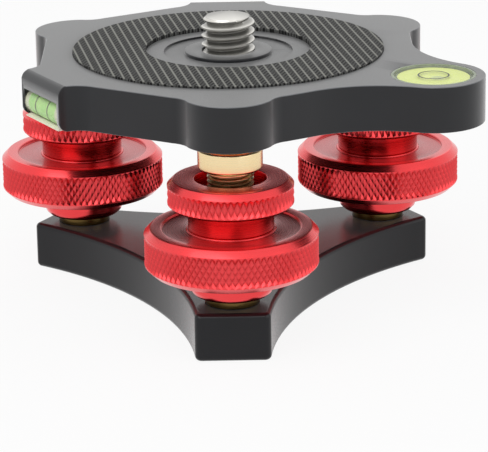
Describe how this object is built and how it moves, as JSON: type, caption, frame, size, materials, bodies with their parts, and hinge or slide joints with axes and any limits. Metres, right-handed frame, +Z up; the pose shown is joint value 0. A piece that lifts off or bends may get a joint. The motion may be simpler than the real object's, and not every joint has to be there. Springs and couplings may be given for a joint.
{
  "type": "leveling base",
  "caption": "Camera leveling base: scalloped top plate with rubber pad, threaded stud and spirit levels, tilted by knurled wheels on jack screws over a base plate.",
  "frame": {"origin": "middle of the base plate's underside, at the mouth of the tapped hole", "axes": "+Z up along the camera screw, -Y towards the front column, +X towards the round level's side"},
  "size_m": [0.087, 0.0848, 0.0514],
  "materials": {
    "black_anodised": "satin anodised",
    "red_anodised": "gloss anodised",
    "brass": "turned",
    "stainless": "turned",
    "pad_rubber": "ribbed matt",
    "acetal": "matt",
    "clear_acrylic": "clear polished",
    "level_fluid": "clear tinted",
    "vial_fluid": "clear tinted"
  },
  "bodies": {
    "base": {"base_plate": "black_anodised"},
    "front_wheel_unit": {"front_wheel": "red_anodised", "front_wheel_bearing": "brass", "front_retaining_ring": "stainless"},
    "front_lock_unit": {"front_lock_ring": "red_anodised"},
    "front_screw_unit": {"front_jack_screw": "brass"},
    "rear_left_wheel_unit": {"rear_left_wheel": "red_anodised", "rear_left_wheel_bearing": "brass", "rear_left_retaining_ring": "stainless"},
    "rear_left_lock_unit": {"rear_left_lock_ring": "red_anodised"},
    "rear_left_screw_unit": {"rear_left_jack_screw": "brass", "rear_left_swivel_ball": "stainless"},
    "rear_right_wheel_unit": {"rear_right_wheel": "red_anodised", "rear_right_wheel_bearing": "brass", "rear_right_retaining_ring": "stainless"},
    "rear_right_lock_unit": {"rear_right_lock_ring": "red_anodised"},
    "rear_right_screw_unit": {"rear_right_jack_screw": "brass", "rear_right_swivel_ball": "stainless"},
    "front_ball_carrier": {"front_swivel_ball": "stainless"},
    "front_cup_carrier": {"front_socket_cup": "acetal"},
    "platform": {"top_plate": "black_anodised", "rubber_pad": "pad_rubber", "camera_screw": "stainless", "screw_bush": "black_anodised", "bullseye_cup": "clear_acrylic", "bullseye_fluid": "level_fluid", "bullseye_lens": "clear_acrylic", "front_vial_tube": "clear_acrylic", "front_vial_fluid": "vial_fluid", "front_vial_plug": "clear_acrylic", "rear_vial_tube": "clear_acrylic", "rear_vial_fluid": "vial_fluid", "rear_vial_plug": "clear_acrylic", "front_socket_ring": "brass", "rear_left_socket_ring": "brass", "rear_right_socket_ring": "brass", "rear_left_socket_cup": "acetal", "rear_right_socket_cup": "acetal"}
  },
  "joints": [
    {"name": "front_wheel_turn", "type": "hinge", "parent": "base", "child": "front_wheel_unit", "pos_m": [0, -0.032, 0.0185], "axis": [0, 0, 1], "range_deg": [-1200, 1200]},
    {"name": "front_lock_turn", "type": "hinge", "parent": "front_wheel_unit", "child": "front_lock_unit", "pos_m": [0, -0.032, 0.0284], "axis": [0, 0, 1], "range_deg": [0, 180]},
    {"name": "front_jack_lift", "type": "slide", "parent": "base", "child": "front_screw_unit", "axis": [0, 0, 1], "range_m": [-0.0025, 0.0025]},
    {"name": "rear_left_wheel_turn", "type": "hinge", "parent": "base", "child": "rear_left_wheel_unit", "pos_m": [-0.02771, 0.016, 0.0185], "axis": [0, 0, 1], "range_deg": [-1200, 1200]},
    {"name": "rear_left_lock_turn", "type": "hinge", "parent": "rear_left_wheel_unit", "child": "rear_left_lock_unit", "pos_m": [-0.02771, 0.016, 0.0284], "axis": [0, 0, 1], "range_deg": [0, 180]},
    {"name": "rear_left_jack_lift", "type": "slide", "parent": "base", "child": "rear_left_screw_unit", "axis": [0, 0, 1], "range_m": [-0.0025, 0.0025]},
    {"name": "rear_right_wheel_turn", "type": "hinge", "parent": "base", "child": "rear_right_wheel_unit", "pos_m": [0.02771, 0.016, 0.0185], "axis": [0, 0, 1], "range_deg": [-1200, 1200]},
    {"name": "rear_right_lock_turn", "type": "hinge", "parent": "rear_right_wheel_unit", "child": "rear_right_lock_unit", "pos_m": [0.02771, 0.016, 0.0284], "axis": [0, 0, 1], "range_deg": [0, 180]},
    {"name": "rear_right_jack_lift", "type": "slide", "parent": "base", "child": "rear_right_screw_unit", "axis": [0, 0, 1], "range_m": [-0.0025, 0.0025]},
    {"name": "front_tilt", "type": "hinge", "parent": "base", "child": "front_ball_carrier", "pos_m": [0, 0.016, 0.0394], "axis": [-1, 0, 0], "range_deg": [-2.99, 2.99]},
    {"name": "rear_left_tilt", "type": "hinge", "parent": "front_ball_carrier", "child": "front_cup_carrier", "pos_m": [0, -0.032, 0.0394], "axis": [0.5, 0.866, 0], "range_deg": [-2.99, 2.99]},
    {"name": "rear_right_tilt", "type": "hinge", "parent": "front_cup_carrier", "child": "platform", "pos_m": [0, -0.032, 0.0394], "axis": [0.5, -0.866, 0], "range_deg": [-2.99, 2.99]}
  ],
  "couplings": [
    {"joint": "front_jack_lift", "follows": "front_wheel_turn", "m_per_rad": -0.00011937},
    {"joint": "rear_left_jack_lift", "follows": "rear_left_wheel_turn", "m_per_rad": -0.00011937},
    {"joint": "rear_right_jack_lift", "follows": "rear_right_wheel_turn", "m_per_rad": -0.00011937},
    {"joint": "front_tilt", "follows": "front_wheel_turn", "ratio": -0.0024868},
    {"joint": "rear_left_tilt", "follows": "rear_left_wheel_turn", "ratio": -0.0024868},
    {"joint": "rear_right_tilt", "follows": "rear_right_wheel_turn", "ratio": -0.0024868}
  ]
}
